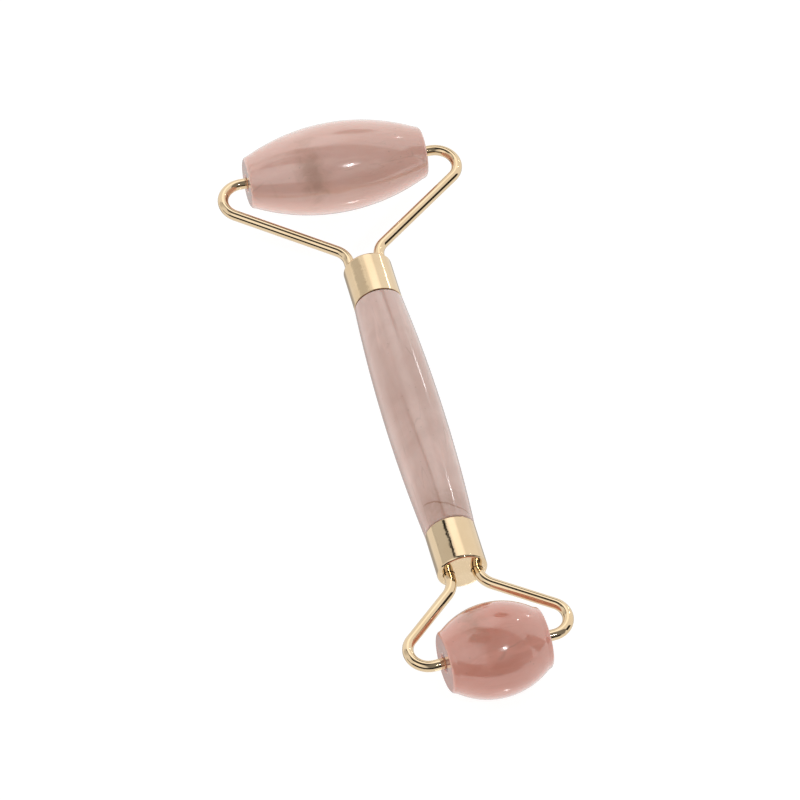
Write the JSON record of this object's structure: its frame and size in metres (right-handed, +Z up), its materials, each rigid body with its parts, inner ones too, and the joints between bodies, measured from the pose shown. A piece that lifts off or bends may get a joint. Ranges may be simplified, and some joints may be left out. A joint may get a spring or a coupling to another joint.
{
  "type": "double-ended stone face roller",
  "caption": "Hand-held facial massage roller: polished stone handle with a metal wire fork at each end, one holding a long stone barrel and the other a short one, both free to spin.",
  "frame": {"origin": "on the surface the tool lies on, under the middle of its overall box", "axes": "+Z up from the surface the tool lies on, +Y along the handle towards the large roller, +X along the large roller's axle"},
  "size_m": [0.0516, 0.1446, 0.0189],
  "materials": {
    "handle_stone": "polished",
    "roller_stone": "polished",
    "cap_metal": "polished",
    "fork_wire": "polished",
    "bush_nylon": "gloss",
    "glue": "matte"
  },
  "bodies": {
    "handle_and_forks": {"handle": "handle_stone", "large_cap": "cap_metal", "large_glue": "glue", "large_fork": "fork_wire", "small_cap": "cap_metal", "small_glue": "glue", "small_fork": "fork_wire"},
    "large_barrel": {"large_roller": "roller_stone", "large_bush_left": "bush_nylon", "large_bush_right": "bush_nylon"},
    "small_barrel": {"small_roller": "roller_stone", "small_bush_left": "bush_nylon", "small_bush_right": "bush_nylon"}
  },
  "joints": [
    {"name": "large_roller_spin", "type": "hinge", "parent": "handle_and_forks", "child": "large_barrel", "pos_m": [0, 0.06286, 0.00945], "axis": [1, 0, 0], "continuous": true},
    {"name": "small_roller_spin", "type": "hinge", "parent": "handle_and_forks", "child": "small_barrel", "pos_m": [0.00135, -0.06299, 0.0093], "axis": [0.9976, 0.0698, 0.0001], "continuous": true}
  ]
}
